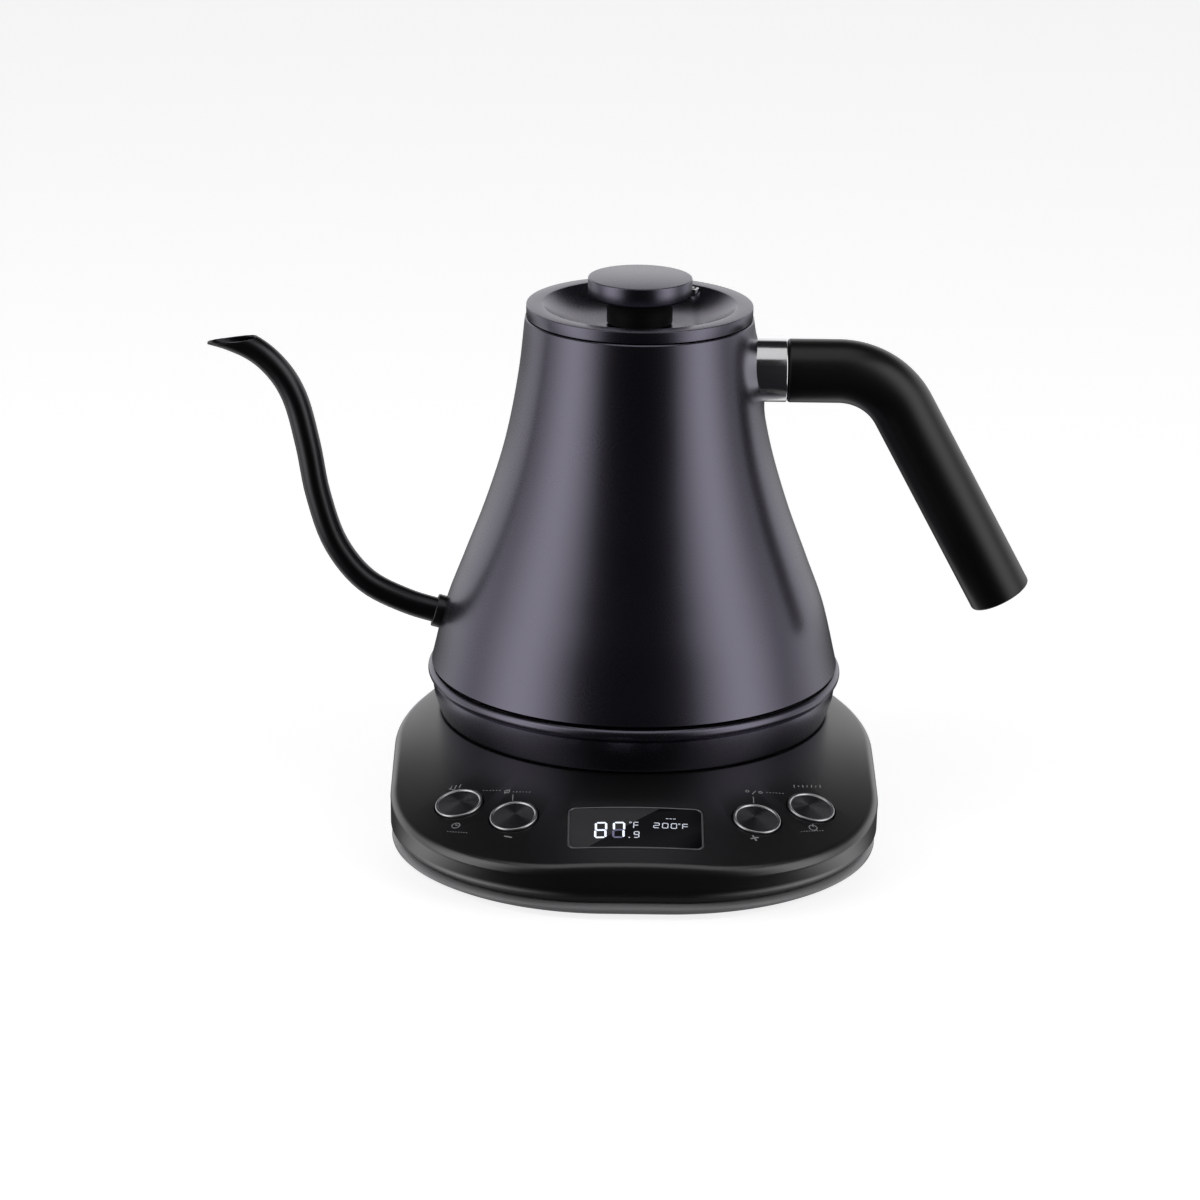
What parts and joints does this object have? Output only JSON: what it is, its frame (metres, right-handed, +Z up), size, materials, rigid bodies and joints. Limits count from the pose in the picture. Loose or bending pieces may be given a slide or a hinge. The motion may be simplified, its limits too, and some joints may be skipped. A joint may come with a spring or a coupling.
{
  "type": "electric kettle",
  "caption": "Gooseneck electric kettle with a tapering round body, a bent side handle and a lift-off lid, standing on a power base with press keys and a display window.",
  "frame": {"origin": "on the kettle's swivel axis, at the surface that the base stands on", "axes": "+X from the swivel axis to the handle, -X to the spout, -Y to the control panel, +Z up"},
  "size_m": [0.2865, 0.193, 0.1891],
  "materials": {
    "kettle_paint": "satin gunmetal paint with a faint violet cast",
    "spout_paint": "satin black paint",
    "satin_plastic": "satin black moulding with a fine spark texture",
    "grip_plastic": "matte black moulding",
    "gloss_plastic": "polished black moulding",
    "inner_plastic": "plain dark moulding",
    "chrome": "polished chrome plating",
    "stainless": "turned or brushed stainless steel",
    "spun_metal": "dark anodised face with circular spin marks and a bright chamfer",
    "aluminium": "plain aluminium",
    "brass": "plain brass",
    "display_glass": "tinted dark window",
    "board_laminate": "green solder-masked laminate",
    "rubber": "black rubber",
    "silicone": "grey translucent silicone"
  },
  "bodies": {
    "power_base": {"base_top_shell": "satin_plastic", "base_bottom_cover": "gloss_plastic", "base_socket": "gloss_plastic", "cord_gland": "rubber", "display_window": "display_glass", "display_bezel": "chrome", "display_module": "inner_plastic", "control_board": "board_laminate", "power_board": "board_laminate", "relay": "gloss_plastic", "transformer": "aluminium", "capacitor": "stainless", "buzzer": "gloss_plastic", "switch_hold": "gloss_plastic", "switch_minus": "gloss_plastic", "switch_plus": "gloss_plastic", "switch_start": "gloss_plastic", "foot_front_left": "rubber", "foot_front_right": "rubber", "foot_back_left": "rubber", "foot_back_right": "rubber", "base_screw_front_left": "stainless", "base_screw_front_right": "stainless", "base_screw_back_left": "stainless", "base_screw_back_right": "stainless"},
    "coupler": {"kettle_coupler": "inner_plastic"},
    "kettle": {"kettle_body": "kettle_paint", "spout": "spout_paint", "spout_collar": "spout_paint", "handle_collar": "chrome", "handle_core": "stainless", "handle_grip": "grip_plastic", "handle_end_cap": "grip_plastic", "handle_end_screw": "stainless", "skirt_ring": "gloss_plastic", "heating_plate": "stainless", "heating_element": "aluminium", "temperature_probe": "brass", "thermal_cutout_left": "inner_plastic", "thermal_cutout_right": "inner_plastic", "kettle_bottom_cover": "inner_plastic", "kettle_screw_1": "stainless", "kettle_screw_2": "stainless", "kettle_screw_3": "stainless"},
    "lid": {"lid_dish": "kettle_paint", "lid_liner": "inner_plastic", "lid_seal": "silicone", "lid_vent": "chrome", "lid_knob": "kettle_paint", "lid_knob_screw": "stainless"},
    "hold_button": {"button_hold": "spun_metal", "plunger_hold": "inner_plastic"},
    "minus_button": {"button_minus": "spun_metal", "plunger_minus": "inner_plastic"},
    "plus_button": {"button_plus": "spun_metal", "plunger_plus": "inner_plastic"},
    "start_button": {"button_start": "spun_metal", "plunger_start": "inner_plastic"}
  },
  "joints": [
    {"name": "kettle_lift", "type": "slide", "parent": "power_base", "child": "coupler", "axis": [0, 0, 1], "range_m": [0, 0.12]},
    {"name": "kettle_swivel", "type": "hinge", "parent": "coupler", "child": "kettle", "pos_m": [0, 0, 0.045], "axis": [0, 0, 1], "continuous": true},
    {"name": "lid_lift", "type": "slide", "parent": "kettle", "child": "lid", "axis": [0, 0, 1], "range_m": [0, 0.06]},
    {"name": "press_hold", "type": "slide", "parent": "power_base", "child": "hold_button", "axis": [0.1693, 0.2207, -0.9605], "range_m": [0, 0.0008], "stiffness_N_per_m": 1800, "springref_m": -0.0003},
    {"name": "press_minus", "type": "slide", "parent": "power_base", "child": "minus_button", "axis": [0.116, 0.2528, -0.9605], "range_m": [0, 0.0008], "stiffness_N_per_m": 1800, "springref_m": -0.0003},
    {"name": "press_plus", "type": "slide", "parent": "power_base", "child": "plus_button", "axis": [-0.116, 0.2528, -0.9605], "range_m": [0, 0.0008], "stiffness_N_per_m": 1800, "springref_m": -0.0003},
    {"name": "press_start", "type": "slide", "parent": "power_base", "child": "start_button", "axis": [-0.1693, 0.2207, -0.9605], "range_m": [0, 0.0008], "stiffness_N_per_m": 1800, "springref_m": -0.0003}
  ]
}
